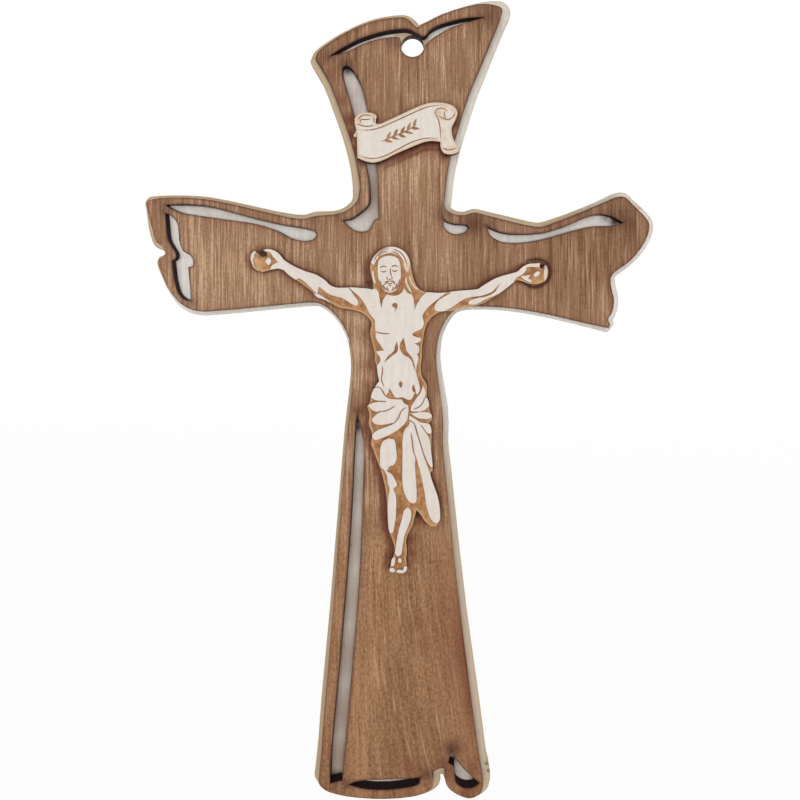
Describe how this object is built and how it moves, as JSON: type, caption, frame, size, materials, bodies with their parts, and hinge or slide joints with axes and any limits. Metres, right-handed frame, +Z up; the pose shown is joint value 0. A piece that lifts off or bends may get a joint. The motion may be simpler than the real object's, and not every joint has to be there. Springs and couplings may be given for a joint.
{
  "type": "wall crucifix",
  "caption": "Flat wooden wall crucifix in glued layers: pale back board, brown front board with open slots, engraved figure and scroll.",
  "frame": {"origin": "middle of the hanging hole, on the back face that lies against the wall", "axes": "+Z up along the shaft, +X to the viewer's right along the arms, front faces -Y"},
  "size_m": [0.1619, 0.011, 0.254],
  "materials": {
    "back_board_wood": "pale birch plywood, bare, with browned cut edges",
    "front_board_wood": "brown-stained plywood, matt, with dark scorched cut edges",
    "engraved_wood": "pale plywood, bare, with engraved areas burnt light brown"
  },
  "bodies": {
    "root": {"back_board": "back_board_wood", "front_board": "front_board_wood", "figure": "engraved_wood", "scroll": "engraved_wood"}
  },
  "joints": []
}
